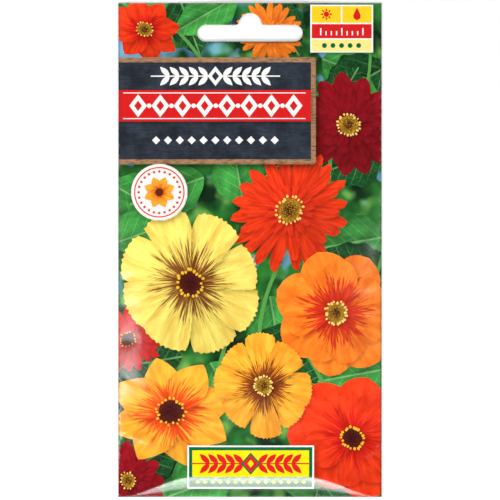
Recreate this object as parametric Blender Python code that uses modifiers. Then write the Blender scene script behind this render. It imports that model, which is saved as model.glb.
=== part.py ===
"""Seed packet: a flat pouch folded from one web of laminated film, with a punched hang slot and loose seeds inside.

Metres, +Z up. The packet lies on its back: X runs across it, +Y towards the hang slot, +Z out of the printed front.
The origin is under the middle of the packet, on the surface that it lies on.
"""

import math

import bmesh
import bpy
from mathutils import Vector

# Driving dimensions of the pouch
WIDTH = 0.080
HEIGHT = 0.150
FILM = 0.00012
PLY_GAP = 0.00006
HEADER_SEAL = 0.026
BOTTOM_SEAL = 0.007
FIN_WIDTH = 0.009

# How far the front stands up over the seeds, and where up the packet
FULL_BULGE = 0.0071
BULGE_FULL_AT = -0.0320
BULGE_FALLS_FROM = -0.0160
EDGE_FULLNESS = 0.90

# The hang slot: a long bar with a round bump over its middle
SLOT_WIDTH = 0.032
SLOT_BAR = 0.005
SLOT_RISE = 0.0086
SLOT_BUMP_RADIUS = 0.0034
SLOT_FILLET = 0.0011
SLOT_FOOT = 0.0633

# Seeds: middle across and along the packet, turn in degrees, and size against the common one
SEED_SIZE = Vector((0.0063, 0.0056, 0.0050))
SEED_GAP = 0.00012
SEED_RIBS = 9
SEED_RIB_DEPTH = 0.035
SEED_LUMPS = 0.05
SEEDS = (
    (-0.0125, -0.0385, 20, 0.94),
    (-0.0040, -0.0405, 115, 0.98),
    (0.0052, -0.0390, 64, 0.93),
    (0.0138, -0.0368, 150, 0.96),
    (-0.0085, -0.0310, 80, 1.02),
    (0.0013, -0.0315, 10, 0.99),
    (0.0108, -0.0282, 100, 0.96),
    (-0.0145, -0.0225, 45, 0.97),
    (-0.0032, -0.0215, 140, 1.03),
)

# Levels of the film's middle surface, each one ply above the last
PLY = FILM + PLY_GAP
OUTER_FIN_LEVEL = FILM / 2
INNER_FIN_LEVEL = OUTER_FIN_LEVEL + PLY
PANEL_LEVEL = INNER_FIN_LEVEL + PLY

FILM_COLOUR = (0.78, 0.30, 0.08, 1.0)
SEED_COLOUR = (0.42, 0.30, 0.17, 1.0)


def clear_scene():
    for obj in list(bpy.data.objects):
        bpy.data.objects.remove(obj)


def new_collection(name):
    collection = bpy.data.collections.new(name)
    bpy.context.scene.collection.children.link(collection)
    return collection


def plain_material(name, colour, roughness):
    material = bpy.data.materials.new(name)
    material.use_nodes = True
    shader = material.node_tree.nodes["Principled BSDF"]
    shader.inputs["Base Color"].default_value = colour
    shader.inputs["Roughness"].default_value = roughness
    shader.inputs["Metallic"].default_value = 0.0
    return material


def eased(value, start, end):
    """0 before start, 1 after end, and a smooth step between them."""
    share = min(1.0, max(0.0, (value - start) / (end - start)))
    return share * share * (3 - 2 * share)


def back_level(x):
    """The back's middle surface: held up by the folded fin in the middle, and down on the table at both sides."""
    if x < 0:
        droop = eased(-x, 0.003, 0.024)
    else:
        droop = eased(x, FIN_WIDTH + 0.002, 0.032)
    return PANEL_LEVEL - droop * (PANEL_LEVEL - OUTER_FIN_LEVEL)


def bulge(x, y):
    """How far the front stands over the back, beyond the one ply that parts them in the seals."""
    rise = eased(y, -HEIGHT / 2 + BOTTOM_SEAL, BULGE_FULL_AT)
    fall = eased(y, BULGE_FALLS_FROM, HEIGHT / 2 - HEADER_SEAL)
    across = max(0.0, 1 - (2 * x / WIDTH) ** 2)
    return FULL_BULGE * rise * (1 - fall) * across**EDGE_FULLNESS


def spaced(start, end, count):
    """Count values from start to end, closer together near both ends."""
    middle, half = (start + end) / 2, (end - start) / 2
    return [middle - half * math.cos(math.pi * i / (count - 1)) for i in range(count)]


def side_fold(side, y, upward):
    """The turn from back to front at one side edge, or from front to back, as points of a half circle."""
    radius = PLY / 2
    centre_x = side * (WIDTH / 2 - radius - FILM / 2)
    centre_z = back_level(side * WIDTH / 2) + radius
    steps = 4
    points = []
    for i in range(steps + 1):
        angle = math.pi * (i / steps - 0.5)
        if not upward:
            angle = -angle
        points.append(Vector((centre_x + side * radius * math.cos(angle), y, centre_z + radius * math.sin(angle))))
    return points


def cross_section(y):
    """The web's middle line at one height up the packet, from the outer edge of the fin, round the pouch, to its inner edge."""
    edge = WIDTH / 2 - PLY / 2 - FILM / 2
    step = 0.0003
    turn = PLY / 2
    turn_x = 0.0005
    points = [Vector((x, y, OUTER_FIN_LEVEL)) for x in (FIN_WIDTH, FIN_WIDTH / 2, 0.0)]
    points += [Vector((-step, y, OUTER_FIN_LEVEL + PLY * 0.4)), Vector((-2 * step, y, PANEL_LEVEL - PLY * 0.4))]
    points += [Vector((x, y, back_level(x))) for x in (-0.001, -0.004, -0.009, -0.015, -0.020, -0.026, -0.034)]
    points += side_fold(-1, y, upward=True)
    points += [Vector((x, y, back_level(x) + PLY + bulge(x, y))) for x in spaced(-edge, edge, 19)[1:-1]]
    points += side_fold(1, y, upward=False)
    points += [Vector((x, y, back_level(x))) for x in (0.036, 0.032, 0.026, 0.020, 0.015, 0.010, 0.005, 0.002)]
    for i in range(5):
        angle = math.pi * (0.5 + i / 4)
        centre_z = PANEL_LEVEL - turn
        points.append(Vector((turn_x + turn * math.cos(angle), y, centre_z + turn * math.sin(angle))))
    points += [Vector((x, y, INNER_FIN_LEVEL)) for x in (0.002, FIN_WIDTH / 2, FIN_WIDTH)]
    return points


def stations():
    """Heights up the packet where the web's section is drawn, closer together where the front curves most."""
    foot, top = -HEIGHT / 2, HEIGHT / 2
    seal_top, header_foot = foot + BOTTOM_SEAL, top - HEADER_SEAL
    rising = [seal_top + (BULGE_FULL_AT - seal_top) * i / 8 for i in range(9)]
    full = [BULGE_FULL_AT + (BULGE_FALLS_FROM - BULGE_FULL_AT) * i / 2 for i in range(1, 3)]
    falling = [BULGE_FALLS_FROM + (header_foot - BULGE_FALLS_FROM) * i / 9 for i in range(1, 10)]
    return [foot, *rising, *full, *falling, top]


def film_web(collection, material, cutter):
    """The whole pouch: an open sheet lofted round the packet, thickened, with the hang slot punched through it."""
    mesh = bpy.data.meshes.new("film_web")
    shape = bmesh.new()
    rows = [[shape.verts.new(point) for point in cross_section(y)] for y in stations()]
    for below, above in zip(rows, rows[1:]):
        for i in range(len(below) - 1):
            shape.faces.new((below[i], below[i + 1], above[i + 1], above[i]))
    bmesh.ops.recalc_face_normals(shape, faces=shape.faces)
    shape.to_mesh(mesh)
    shape.free()
    mesh.materials.append(material)
    web = bpy.data.objects.new("film_web", mesh)
    collection.objects.link(web)
    wall = web.modifiers.new("film thickness", "SOLIDIFY")
    wall.thickness = FILM
    wall.offset = 0.0
    wall.use_even_offset = True
    punch = web.modifiers.new("hang slot", "BOOLEAN")
    punch.operation = "DIFFERENCE"
    punch.solver = "EXACT"
    punch.object = cutter
    return web


def arc(centre_x, centre_y, radius, from_degrees, to_degrees, steps):
    """Points along an arc, both ends included."""
    points = []
    for i in range(steps + 1):
        angle = math.radians(from_degrees + (to_degrees - from_degrees) * i / steps)
        points.append((centre_x + radius * math.cos(angle), centre_y + radius * math.sin(angle)))
    return points


def slot_outline():
    """The hang slot seen from the front, anticlockwise: a bar with round ends, and a bump that fillets into it."""
    end = SLOT_BAR / 2
    bar_end = SLOT_WIDTH / 2 - end
    bar_middle = SLOT_FOOT + end
    bar_top = SLOT_FOOT + SLOT_BAR
    bump_y = SLOT_FOOT + SLOT_RISE - SLOT_BUMP_RADIUS
    fillet_y = bar_top + SLOT_FILLET
    reach = SLOT_BUMP_RADIUS + SLOT_FILLET
    fillet_x = math.sqrt(reach**2 - (fillet_y - bump_y) ** 2)
    touch = math.degrees(math.atan2(fillet_y - bump_y, fillet_x))
    right_end = arc(bar_end, bar_middle, end, -90, 90, 8)
    right_fillet = arc(fillet_x, fillet_y, SLOT_FILLET, 270, 180 + touch, 3)
    bump = arc(0, bump_y, SLOT_BUMP_RADIUS, touch, 180 - touch, 12)
    left_fillet = arc(-fillet_x, fillet_y, SLOT_FILLET, -touch, -90, 3)
    left_end = arc(-bar_end, bar_middle, end, 90, 270, 8)
    return right_end + right_fillet + bump[1:-1] + left_fillet + left_end


def slot_cutter(collection):
    """The punch for the hang slot, as a closed mesh made from a filled 2D outline."""
    curve = bpy.data.curves.new("slot outline", "CURVE")
    curve.dimensions = "2D"
    curve.fill_mode = "BOTH"
    curve.extrude = 0.003
    outline = slot_outline()
    line = curve.splines.new("POLY")
    line.points.add(len(outline) - 1)
    for point, (x, y) in zip(line.points, outline):
        point.co = (x, y, 0.0, 1.0)
    line.use_cyclic_u = True
    guide = bpy.data.objects.new("slot outline", curve)
    collection.objects.link(guide)
    graph = bpy.context.evaluated_depsgraph_get()
    mesh = bpy.data.meshes.new_from_object(guide.evaluated_get(graph))
    punch = bpy.data.objects.new("slot_punch", mesh)
    punch.matrix_world = guide.matrix_world
    bpy.data.objects.remove(guide)
    shape = bmesh.new()
    shape.from_mesh(mesh)
    bmesh.ops.remove_doubles(shape, verts=shape.verts, dist=1e-6)
    bmesh.ops.recalc_face_normals(shape, faces=shape.faces)
    shape.to_mesh(mesh)
    shape.free()
    collection.objects.link(punch)
    punch.hide_render = True
    punch.display_type = "WIRE"
    return punch


def seed_mesh():
    """A dry seed: a rounded body with shallow ribs from end to end and a few soft lumps, one metre-scaled unit across."""
    mesh = bpy.data.meshes.new("seed")
    shape = bmesh.new()
    bmesh.ops.create_icosphere(shape, subdivisions=3, radius=0.5)
    for vert in shape.verts:
        along = vert.co.x / 0.5
        around = math.atan2(vert.co.z, vert.co.y)
        rib = math.cos(SEED_RIBS * around) * (1 - along * along)
        lump = math.sin(7 * along + 2 * around) * math.cos(3 * around)
        vert.co *= 1 - SEED_RIB_DEPTH * (1 - rib) / 2 - SEED_LUMPS * (1 + lump) / 2
    shape.to_mesh(mesh)
    shape.free()
    mesh.shade_smooth()
    return mesh


def seed_rest(x, size):
    """The height of a seed's middle where it rests on the inside of the back film."""
    reach = size.y / 2
    floor = max(back_level(x - reach), back_level(x), back_level(x + reach))
    return floor + FILM / 2 + SEED_GAP + size.z / 2


def seeds(collection, material):
    mesh = seed_mesh()
    mesh.materials.append(material)
    for number, (x, y, turn, share) in enumerate(SEEDS, start=1):
        size = SEED_SIZE * share
        seed = bpy.data.objects.new(f"seed_{number}", mesh)
        seed.location = (x, y, seed_rest(x, size))
        seed.rotation_euler = (0, 0, math.radians(turn))
        seed.scale = size
        collection.objects.link(seed)


def main():
    clear_scene()
    packet = new_collection("seed_packet")
    cutters = new_collection("cutters")
    film = plain_material("printed_film", FILM_COLOUR, 0.25)
    husk = plain_material("seed_husk", SEED_COLOUR, 0.85)
    film_web(packet, film, slot_cutter(cutters))
    seeds(packet, husk)


main()
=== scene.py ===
import math
from dataclasses import dataclass
from typing import NamedTuple

import bmesh
import bpy
import numpy as np
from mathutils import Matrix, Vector
from mathutils.geometry import delaunay_2d_cdt


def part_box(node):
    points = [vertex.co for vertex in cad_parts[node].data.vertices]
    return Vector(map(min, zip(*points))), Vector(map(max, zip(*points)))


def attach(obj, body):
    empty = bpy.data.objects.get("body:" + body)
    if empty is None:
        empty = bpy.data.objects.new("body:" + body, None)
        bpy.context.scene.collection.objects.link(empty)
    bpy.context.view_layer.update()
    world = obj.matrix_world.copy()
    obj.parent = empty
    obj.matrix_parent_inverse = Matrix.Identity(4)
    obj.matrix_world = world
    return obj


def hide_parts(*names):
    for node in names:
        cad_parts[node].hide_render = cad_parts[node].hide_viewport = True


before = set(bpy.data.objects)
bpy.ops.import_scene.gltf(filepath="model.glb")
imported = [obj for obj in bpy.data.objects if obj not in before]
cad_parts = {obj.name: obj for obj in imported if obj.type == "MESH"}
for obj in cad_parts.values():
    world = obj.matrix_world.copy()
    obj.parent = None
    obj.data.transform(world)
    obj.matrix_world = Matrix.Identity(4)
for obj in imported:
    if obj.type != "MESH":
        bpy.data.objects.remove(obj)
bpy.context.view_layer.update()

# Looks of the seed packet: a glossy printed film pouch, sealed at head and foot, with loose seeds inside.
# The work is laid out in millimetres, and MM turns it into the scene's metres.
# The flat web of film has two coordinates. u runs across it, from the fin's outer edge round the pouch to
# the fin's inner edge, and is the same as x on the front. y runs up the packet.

MM = 0.001

# Driving sizes of the pouch, as in the CAD
WIDTH = 80.0
HEIGHT = 150.0
HEAD = HEIGHT / 2
FILM = 0.12
PLY = 0.18
HEADER_SEAL = 26.0
FIN_WIDTH = 9.0
FIN_STEP = 0.6
TURN_X = 0.5
FOLD_RADIUS = PLY / 2
EDGE = WIDTH / 2 - FOLD_RADIUS - FILM / 2
FOLD_END = EDGE + math.pi * FOLD_RADIUS
OUTER_FIN_LEVEL = FILM / 2
INNER_FIN_LEVEL = OUTER_FIN_LEVEL + PLY
PANEL_LEVEL = INNER_FIN_LEVEL + PLY
SEEDS = 9

# The hang slot
SLOT_END = 16.0
SLOT_FOOT = 63.3
SLOT_BAR = 5.0
BUMP_TOP = 8.6
BUMP_RADIUS = 3.4
BUMP_FILLET = 1.1

# How the front stands up over the seeds
FULL_RISE = 7.0
RISE_FULL_AT = -32.0
RISE_FALLS_FROM = -16.0
RISE_SHUT_AT = HEAD - HEADER_SEAL
EDGE_FULLNESS = 0.90

# The sealed foot slopes up from the table to a crease, which runs down to both corners
FOOT_CREASE = 6.3
FOOT_LIFT = 1.75
FOOT_CURVE = 1.5
CREASE_LEVEL_TO = 17.0
BACK_DOWN_AT = -52.0

# Spacing of the film's mesh: the printed skin, the plain skin inside, the foot's rows, and the outlines
FRONT_PITCH = 0.64
BACK_PITCH = 1.5
INSIDE_PITCH = 1.2
INSIDE_BACK_PITCH = 2.2
FOOT_PITCH = 0.5
FINE_ROWS_TO = -64.0
FRONT_OUTLINE_STEP = 0.8
BACK_OUTLINE_STEP = 1.6

RNG = np.random.default_rng(21)


def eased(value, start, end):
    """0 before start, 1 after end, and a smooth step between them."""
    share = np.clip((value - start) / (end - start), 0.0, 1.0)
    return share * share * (3 - 2 * share)


def heading(degrees):
    angle = math.radians(degrees)
    return np.array([math.cos(angle), math.sin(angle)])


def linked(name, data):
    thing = bpy.data.objects.new(name, data)
    bpy.context.scene.collection.objects.link(thing)
    return thing


def srgb(red, green, blue):
    """A screen colour, from 0 to 255, as the linear colour that Blender works in."""
    levels = np.array((red, green, blue)) / 255
    low, high = levels / 12.92, ((levels + 0.055) / 1.055) ** 2.4
    return (*np.where(levels <= 0.04045, low, high).tolist(), 1.0)


# The film's shape


def back_level(x):
    """The back's middle surface: held up by the folded fin, and down on the table at both sides."""
    droop = np.where(x < 0, eased(-x, 3.0, 24.0), eased(x, FIN_WIDTH + 2.0, 32.0))
    return PANEL_LEVEL - droop * (PANEL_LEVEL - OUTER_FIN_LEVEL)


def web_path():
    """The web's middle line with the pouch pressed flat: arrays u, x and z."""
    near = 0.02
    half_turn = np.linspace(0, math.pi, 13)
    bulge, drop = FOLD_RADIUS * np.sin(half_turn), FOLD_RADIUS * np.cos(half_turn)
    level = float(back_level(np.array(EDGE)))
    step = np.linspace(0, 1, 9)
    outer = np.linspace(FIN_WIDTH, 0.1, 30)
    left = np.linspace(-FIN_STEP - 0.1, -EDGE + near, 160)
    front = np.linspace(-EDGE + near, EDGE - near, 320)
    right = np.linspace(EDGE - near, TURN_X + 0.05, 160)
    inner = np.linspace(TURN_X + 0.05, FIN_WIDTH, 30)
    stretches = [
        (outer, np.full_like(outer, OUTER_FIN_LEVEL)),
        (-FIN_STEP * step, OUTER_FIN_LEVEL + (PANEL_LEVEL - OUTER_FIN_LEVEL) * eased(step, 0.0, 1.0)),
        (left, back_level(left)),
        (-EDGE - bulge, level + FOLD_RADIUS - drop),
        (front, back_level(front) + PLY),
        (EDGE + bulge, level + FOLD_RADIUS + drop),
        (right, back_level(right)),
        (TURN_X - bulge, PANEL_LEVEL - FOLD_RADIUS + drop),
        (inner, np.full_like(inner, INNER_FIN_LEVEL)),
    ]
    x, z = (np.concatenate(part) for part in zip(*stretches))
    u = np.r_[0.0, np.cumsum(np.hypot(np.diff(x), np.diff(z)))]
    first = sum(len(part) for part, _ in stretches[:4])
    middle = (u[first] + u[first + len(front) - 1]) / 2
    return u - middle, x, z


PATH_U, PATH_X, PATH_Z = web_path()
U_START, U_END = PATH_U[0], PATH_U[-1]


def path_at(u):
    return np.interp(u, PATH_U, PATH_X), np.interp(u, PATH_U, PATH_Z)


def u_behind(x, side):
    """Where the back panel on one side reaches x."""
    return side * (FOLD_END + EDGE - side * x)


def crease_height(x):
    """How far the crease above the foot's seal lies from the foot."""
    return FOOT_CREASE * (1 - 0.97 * eased(np.abs(x), CREASE_LEVEL_TO, EDGE)) + 0.05


def foot_lift(x, y, back_down_at):
    """The sealed foot's rise to its crease, and the film's way back down beyond it."""
    height = crease_height(x)
    share = np.clip((y + HEAD) / height, 0.0, 1.0)
    beyond = 1 - eased(y, height - HEAD + 0.6, back_down_at)
    return FOOT_LIFT * height / FOOT_CREASE * share**FOOT_CURVE * beyond


def crease(x, y, start, end, width, depth):
    """A soft dent along a line, deepest at its start, or a ridge where the depth is below zero."""
    start, end = np.array(start), np.array(end)
    run = end - start
    share = np.clip(((x - start[0]) * run[0] + (y - start[1]) * run[1]) / (run @ run), 0.0, 1.0)
    away = np.hypot(x - start[0] - share * run[0], y - start[1] - share * run[1])
    return -depth * np.exp(-((away / width) ** 2)) * (1 - share) ** 0.7


def edge_puckers():
    """Two ridges near the foot, and small creases where the film has to follow the pillow."""
    draw = np.random.default_rng(5)
    puckers = [((-EDGE, -54.8), (-27.0, -58.8), 1.7, -0.88), ((EDGE, -59.5), (33.6, -62.8), 1.2, -0.68)]
    for side in (-1, 1):
        for y in np.arange(-46.0, 44.0, 9.0):
            start = (side * EDGE, y + draw.uniform(-3, 3))
            reach = draw.uniform(5, 13)
            end = (side * (EDGE - reach), start[1] + draw.uniform(-0.5, 0.5) * reach)
            puckers.append((start, end, draw.uniform(1.2, 2.2), draw.uniform(0.05, 0.16)))
    for x in np.arange(-33.0, 34.0, 7.4):
        start = (x + draw.uniform(-2, 2), RISE_SHUT_AT + draw.uniform(-1, 1))
        end = (start[0] * 0.93, start[1] - draw.uniform(6, 16))
        puckers.append((start, end, draw.uniform(1.0, 1.9), draw.uniform(0.03, 0.09)))
    return puckers


PUCKERS = edge_puckers()


def front_rise(x, y):
    """How far the front stands over the flat path: a pillow with soft creases."""
    rise = eased(y, crease_height(x) - HEAD + 0.5, RISE_FULL_AT)
    shut = 1 - eased(y, RISE_FALLS_FROM, RISE_SHUT_AT)
    across = np.clip(1 - (x / EDGE) ** 2, 0.0, 1.0)
    height = FULL_RISE * rise * shut * across**EDGE_FULLNESS + foot_lift(x, y, RISE_FULL_AT)
    dents = sum(crease(x, y, *pucker) for pucker in PUCKERS)
    held = np.where(dents < 0, eased(height, 0.05, 0.8), eased(EDGE - np.abs(x), 0.0, 2.4))
    return np.maximum(height + dents * held, 0.0)


def web_points(u, y):
    """Points on the web's middle surface, in millimetres."""
    x, z = path_at(u)
    front, back = front_rise(np.clip(x, -EDGE, EDGE), y), foot_lift(x, y, BACK_DOWN_AT)
    return np.stack([x, y, z + np.where(np.abs(u) < EDGE, front, back)], axis=-1)


def skin_points(flat, side):
    """Points on the film's printed skin, where side is 1, or on its inner skin, where it is -1."""
    u, y = flat.T
    small = 0.012
    across = web_points(u + small, y) - web_points(u - small, y)
    along = web_points(u, y + small) - web_points(u, y - small)
    normal = np.cross(across, along)
    normal /= np.linalg.norm(normal, axis=-1, keepdims=True)
    return web_points(u, y) + side * normal * FILM / 2


# The hang slot's outline


def bar_reach(x):
    """How far the slot's bar reaches up and down from its middle, with its round ends."""
    end = SLOT_BAR / 2
    return np.sqrt(np.clip(end**2 - np.clip(np.abs(x) - SLOT_END + end, 0, None) ** 2, 0, None))


def slot_bottom(x):
    return SLOT_FOOT + SLOT_BAR / 2 - bar_reach(x)


def slot_top(x):
    """The slot's upper edge at x: a round bump, its fillets and the bar."""
    bump_y = SLOT_FOOT + BUMP_TOP - BUMP_RADIUS
    fillet_y = SLOT_FOOT + SLOT_BAR + BUMP_FILLET
    fillet_x = math.sqrt((BUMP_RADIUS + BUMP_FILLET) ** 2 - (fillet_y - bump_y) ** 2)
    touch_x = fillet_x * BUMP_RADIUS / (BUMP_RADIUS + BUMP_FILLET)
    reach = np.abs(x)
    bump = bump_y + np.sqrt(np.clip(BUMP_RADIUS**2 - reach**2, 0, None))
    fillet = fillet_y - np.sqrt(np.clip(BUMP_FILLET**2 - (reach - fillet_x) ** 2, 0, None))
    bar = SLOT_FOOT + SLOT_BAR / 2 + bar_reach(x)
    return np.where(reach < touch_x, bump, np.where(reach < fillet_x, fillet, bar))


def in_slot(u, y):
    x, _ = path_at(u)
    return (np.abs(x) < SLOT_END) & (y > slot_bottom(x)) & (y < slot_top(x))


def slot_samples(start, end):
    """Places across the slot where its outline is drawn, close together where it is round."""
    ends = SLOT_END - SLOT_BAR / 2 * (1 - np.cos(np.linspace(0, math.pi / 2, 11)))
    bump = np.linspace(0, 4.6, 36)
    x = np.r_[ends, bump, np.linspace(4.9, SLOT_END - SLOT_BAR / 2 - 0.2, 14)]
    x = np.unique(np.round(np.r_[x, -x], 5))
    return x[(x >= start) & (x <= end)]


def slot_notch(side):
    """The slot's edge on one half of the back, from the web's edge and back to it."""
    if side < 0:
        x, far = slot_samples(-SLOT_END, -FIN_STEP - 0.2), U_START
    else:
        x, far = slot_samples(TURN_X + 0.2, SLOT_END)[::-1], U_END
    panel = u_behind(x, side)
    seam = np.arange(min(abs(far), abs(panel[-1])) + 0.2, max(abs(far), abs(panel[-1])), 0.25) * side
    u = np.r_[panel, seam, far]
    x = path_at(u)[0]
    return list(zip(u[::-1], slot_bottom(x)[::-1]))[:-1] + list(zip(u, slot_top(x)))


def slot_outlines():
    """The slot's edge on the flat web: a loop in the front, and a notch at both ends of the back."""
    x = slot_samples(-SLOT_END, SLOT_END)
    front = list(zip(x, slot_bottom(x))) + list(zip(x[::-1], slot_top(x[::-1])))[1:-1]
    return [(front, True)] + [(slot_notch(side), False) for side in (-1, 1)]


# The film's mesh on the flat web


def grid_columns(front_pitch, back_pitch):
    """Where the mesh has columns of points: close together at the folds and the seam."""
    half_turn = math.pi * FOLD_RADIUS
    fold = EDGE + np.linspace(0, half_turn, 7)
    lip = FOLD_END + np.array([0.35, 0.8])
    panel = np.linspace(FOLD_END + 1.4, FOLD_END + EDGE - 1.2, int((EDGE - 2.6) / back_pitch))
    left_seam = FOLD_END + EDGE + np.array([-0.5, 0, 0.15, 0.3, 0.45, 0.6, 0.75, 0.95])
    right_seam = u_behind(TURN_X, 1) + np.linspace(-0.05, half_turn + 0.05, 8)
    columns = [np.linspace(-EDGE, EDGE, int(2 * EDGE / front_pitch) + 1)]
    for side, seam, end in ((-1, left_seam, -U_START), (1, right_seam, U_END)):
        fin = np.linspace(seam[-1] + 0.5, end, int(FIN_WIDTH / back_pitch) + 2)
        columns.append(side * np.r_[fold, lip, panel, seam, fin])
    return np.unique(np.round(np.concatenate(columns), 5))


def grid_points(front_pitch, back_pitch):
    """Points spread over the flat web, in columns that are set half a pitch off each other in front."""
    points = []
    foot_rows = np.linspace(-HEAD, FINE_ROWS_TO, int((FINE_ROWS_TO + HEAD) / FOOT_PITCH) + 1)
    for number, u in enumerate(grid_columns(front_pitch, back_pitch)):
        on_front = abs(u) < EDGE - 1e-4
        pitch = front_pitch if on_front or abs(abs(u) - EDGE) < 0.5 else back_pitch
        rows = np.linspace(FINE_ROWS_TO, HEAD, int((HEAD - FINE_ROWS_TO) / pitch) + 1)
        rows = np.r_[foot_rows[:-1], rows]
        if on_front and number % 2:
            rows = np.r_[rows[0], (rows[1:] + rows[:-1]) / 2, rows[-1]]
        points.append(np.c_[np.full_like(rows, u), rows])
    return np.concatenate(points)


def drawn_finely(outline):
    """A closed outline with its long runs cut up, so that it follows the curved film."""
    points = []
    for a, b in zip(outline, np.roll(outline, -1, axis=0)):
        step = FRONT_OUTLINE_STEP if abs(a[0]) < FOLD_END + 1 else BACK_OUTLINE_STEP
        count = max(1, math.ceil(np.hypot(*(b - a)) / step))
        points += [a + (b - a) * i / count for i in range(count)]
    return np.array(points)


def triangulated(points, lines, merge):
    """Triangles over the flat web, without the slot, where the lines stay edges."""
    vertices = [Vector(point) for point in points]
    edges = []
    for line, closed in lines:
        start, count = len(vertices), len(line)
        vertices += [Vector(point) for point in line]
        edges += [(start + i, start + (i + 1) % count) for i in range(count if closed else count - 1)]
    made = delaunay_2d_cdt(vertices, edges, [], 0, merge, False)
    flat = np.array([tuple(v) for v in made[0]])
    faces = np.array([tuple(face) for face in made[2]])
    a, b, c = (flat[faces[:, i]] for i in range(3))
    area = np.abs((b - a)[:, 0] * (c - a)[:, 1] - (b - a)[:, 1] * (c - a)[:, 0])
    return flat, faces[~in_slot(*flat[faces].mean(axis=1).T) & (area > 1e-7)]


def rim_edges(faces):
    directed = np.r_[faces[:, [0, 1]], faces[:, [1, 2]], faces[:, [2, 0]]]
    _, first, count = np.unique(np.sort(directed, axis=1), axis=0, return_index=True, return_counts=True)
    return directed[first[count == 1]]


def visible_outlines(shapes):
    """The stretches of the shapes' outlines that no later shape covers, for the mesh to follow."""
    corners = (U_START, -HEAD), (U_END, HEAD)
    loops = [drawn_finely(np.clip(shape.outline, *corners)) for shape in shapes]
    points = np.concatenate(loops)
    owner = np.repeat(np.arange(len(loops)), [len(loop) for loop in loops])
    hidden = np.zeros(len(points), bool)
    for number, shape in enumerate(shapes):
        hidden |= (owner < number) & shape.holds(points)
    lines = []
    for number, loop in enumerate(loops):
        covered = hidden[owner == number]
        shown = ~(covered & np.roll(covered, -1))
        for run in np.split(np.arange(len(loop)), np.flatnonzero(np.diff(shown)) + 1):
            if shown[run[0]]:
                lines.append((loop[np.append(run, run[-1] + 1) % len(loop)], False))
    return lines


# The print: flat shapes, painted one over the other


@dataclass
class Shape:
    """One printed shape. Its local frame says where a point lies in the petal or leaf."""

    outline: np.ndarray
    tint: tuple
    ink: str = "flat"
    deep: tuple = None
    marks: tuple = (0, 0, 0)
    local: tuple = ((1, 0, 0), (0, 1, 0))
    shadow: float = 0.0
    soft: float = 1.2

    def __post_init__(self):
        self.outline = np.asarray(self.outline, float)
        self.deep = self.deep or self.tint
        self.low, self.high = self.outline.min(axis=0), self.outline.max(axis=0)

    def holds(self, points):
        """Which points lie inside the outline."""
        inside = np.zeros(len(points), bool)
        near = np.flatnonzero(((points >= self.low) & (points <= self.high)).all(axis=1))
        x, y = points[near, 0], points[near, 1]
        odd = np.zeros(len(near), bool)
        for (ax, ay), (bx, by) in zip(self.outline, np.roll(self.outline, -1, axis=0)):
            if ay != by:
                odd ^= ((ay > y) != (by > y)) & (x < (bx - ax) * (y - ay) / (by - ay) + ax)
        inside[near] = odd
        return inside


class Print(list):
    """The shapes of one print, in the order that they are painted."""

    def add(self, *form, **more):
        self.append(Shape(*form, **more))


def ellipse(centre, radius_x, radius_y=None, count=24, turn=0.0, wobble=0.0, phase=0.0):
    angle = np.linspace(0, 2 * math.pi, count, endpoint=False)
    reach = 1 + wobble * np.sin(3 * angle + phase) + wobble * 0.6 * np.sin(5 * angle - 2 * phase)
    x, y = radius_x * reach * np.cos(angle), (radius_y or radius_x) * reach * np.sin(angle)
    cos, sin = heading(turn)
    return np.c_[x, y] @ np.array([[cos, sin], [-sin, cos]]) + centre


def box(left, bottom, right, top, corner=0.0):
    """A rectangle, with round corners if a radius is given."""
    if not corner:
        return np.array([(left, bottom), (right, bottom), (right, top), (left, top)])
    centres = np.roll(box(left + corner, bottom + corner, right - corner, top - corner), -1, axis=0)
    points = []
    for centre, start in zip(centres, (-90, 0, 90, 180)):
        points += [centre + corner * heading(start + 18 * i) for i in range(6)]
    return np.array(points)


def petal_profile(kind, rng):
    """A petal's outline from its base round its tip: along from 0 to 1, and across from -1 to 1."""
    along = np.linspace(0, 1, 21)
    tip = []
    if kind == "toothed":
        along = np.linspace(0, 0.9, 15)
        half = 0.17 + 0.83 * np.sin(math.pi / 2 * along / 0.9) ** 1.05
        for t in np.linspace(1, -1, 19)[1:-1]:
            tip.append((0.93 + 0.09 * (1 - t * t) - 0.018 * (1 - math.cos(8 * math.pi * t)), t * 0.985))
    elif kind == "pointed":
        half = np.sin(math.pi * along**0.86) ** 0.82
    elif kind == "narrow":
        half = (1 - np.abs(2 * along - 1.06).clip(0, 1) ** 3.2) ** 0.9 * (0.55 + 0.45 * along)
    else:
        half = np.sin(math.pi * along**1.25) ** 0.62 * (0.62 + 0.38 * along)
    half[0] = max(half[0], 0.08)
    lower = half * (1 + 0.05 * np.sin(along * 9 + rng.uniform(0, 6)) * along)
    upper = half * (1 + 0.05 * np.sin(along * 8 + rng.uniform(0, 6)))
    back = list(zip(along, -upper))[::-1]
    return np.array(list(zip(along, lower)) + tip + (back if tip else back[1:]))


def leaf_profile(rng, teeth=0.05):
    along = np.linspace(0, 1, 31)
    half = np.sin(math.pi * along**0.8) ** 0.85
    tooth = 1 + teeth * np.cos(math.pi * 9 * along)
    half = np.clip(half * tooth * (1 + 0.04 * np.sin(along * 7 + rng.uniform(0, 6))), 0, None)
    half[0] = 0.06
    return np.array(list(zip(along, half)) + list(zip(along[::-1], -half[::-1]))[1:])


def placed(profile, base, degrees, length, half_width, tilt=np.eye(2)):
    """A petal or leaf on the print: its outline, and the local frame that its veins follow."""
    along = heading(degrees)
    across = np.array([-along[1], along[0]])
    spread = tilt @ np.c_[along * length, across * half_width]
    back = np.linalg.inv(spread)
    return profile @ spread.T + base, np.c_[back, -back @ np.asarray(base, float)]


def squashed(degrees, share):
    """The tilt of a flower that doesn't face the reader: narrower along one direction."""
    along = heading(degrees)
    return np.eye(2) - (1 - share) * np.outer(along, along)


def toned(colour, share):
    return (*[level * share for level in colour[:3]], 1.0)


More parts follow.
